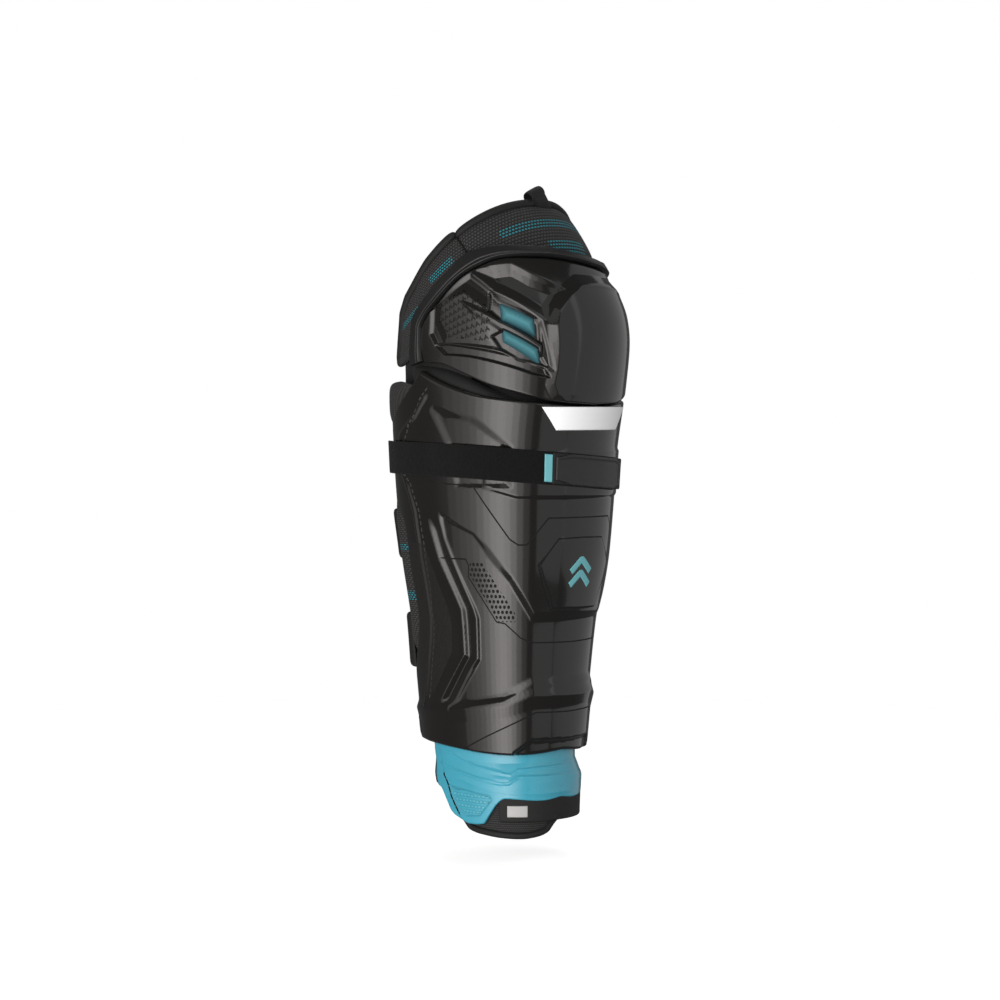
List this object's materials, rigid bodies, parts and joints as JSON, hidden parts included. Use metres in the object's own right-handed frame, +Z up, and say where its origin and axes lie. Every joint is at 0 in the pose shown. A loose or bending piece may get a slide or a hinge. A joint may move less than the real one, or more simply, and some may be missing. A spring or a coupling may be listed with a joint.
{
  "type": "hockey shin guard",
  "caption": "Shin guard with a domed knee cap, glossy wrap-round shell, sliding ankle extension, opening calf wrap and straps, fabric padding inside.",
  "frame": {"origin": "on the leg's centre line, 6.5 mm below the lowest edge of the ankle hem", "axes": "+Z up the shin, -Y out of the front of the leg, +X towards the inner side of a right leg"},
  "size_m": [0.1324, 0.1482, 0.4107],
  "materials": {
    "gloss_black": "high-gloss black moulded plastic",
    "satin_black": "satin near-black plastic",
    "cyan_plastic": "glossy bright cyan-blue plastic",
    "badge_white": "smooth silver-white film",
    "teal_print": "light teal print or welded film",
    "mesh_fabric": "black padded mesh fabric with grey and teal dots",
    "binding": "black folded edge binding and stretch fabric",
    "foam": "dark closed-cell foam",
    "teal_fabric": "brushed teal fabric over foam",
    "webbing": "black woven webbing",
    "fuzzy_webbing": "black brushed loop-pile band"
  },
  "bodies": {
    "shin": {"shin_shell": "gloss_black", "front_badge": "badge_white", "front_emblem": "teal_print", "shin_foam": "foam", "shin_liner": "mesh_fabric", "liner_top_binding": "binding", "knee_gusset": "binding", "strap_landing": "fuzzy_webbing"},
    "knee": {"knee_cap": "gloss_black", "knee_rim": "satin_black", "vent_insert_outer": "teal_fabric", "vent_insert_inner": "teal_fabric", "knee_pad": "mesh_fabric", "knee_wing_outer": "mesh_fabric", "knee_wing_inner": "mesh_fabric", "knee_cup_foam": "foam"},
    "thigh": {"thigh_flap": "mesh_fabric"},
    "loop": {"pull_loop": "webbing"},
    "extension": {"ankle_plate": "cyan_plastic", "ankle_liner": "mesh_fabric", "ankle_binding": "binding", "hem_band": "webbing", "size_tag": "badge_white"},
    "wrap": {"calf_wrap_pad": "mesh_fabric", "calf_binding_top": "binding", "calf_binding_bottom": "binding", "middle_strap_run": "webbing", "lower_strap_run": "webbing"},
    "middle_strap": {"middle_strap_end": "webbing"},
    "lower_strap": {"lower_strap_end": "webbing"},
    "top_strap": {"top_strap_band": "webbing", "top_strap_stripe": "teal_print", "top_strap_plate": "satin_black"}
  },
  "joints": [
    {"name": "knee_flex", "type": "hinge", "parent": "shin", "child": "knee", "pos_m": [0, 0.014, 0.312], "axis": [1, 0, 0], "range_deg": [-15, 0]},
    {"name": "thigh_flex", "type": "hinge", "parent": "knee", "child": "thigh", "pos_m": [0, -0.052, 0.366], "axis": [1, 0, 0], "range_deg": [-15, 0]},
    {"name": "loop_flip", "type": "hinge", "parent": "thigh", "child": "loop", "pos_m": [-0.004, -0.0213, 0.4035], "axis": [1, 0, 0], "range_deg": [-20, 5]},
    {"name": "ankle_length", "type": "slide", "parent": "shin", "child": "extension", "axis": [0, 0, -1], "range_m": [-0.008, 0.016]},
    {"name": "wrap_open", "type": "hinge", "parent": "shin", "child": "wrap", "pos_m": [-0.0465, 0.0625, 0.2], "axis": [0, 0, 1], "range_deg": [0, 95]},
    {"name": "middle_strap_open", "type": "hinge", "parent": "wrap", "child": "middle_strap", "pos_m": [0.0465, 0.066, 0.196], "axis": [0, 0, 1], "range_deg": [0, 60]},
    {"name": "lower_strap_open", "type": "hinge", "parent": "wrap", "child": "lower_strap", "pos_m": [0.043, 0.06, 0.127], "axis": [0, 0, 1], "range_deg": [0, 60]},
    {"name": "top_strap_open", "type": "hinge", "parent": "shin", "child": "top_strap", "pos_m": [0.058, 0.052, 0.235], "axis": [0, 0, 1], "range_deg": [0, 50]}
  ]
}
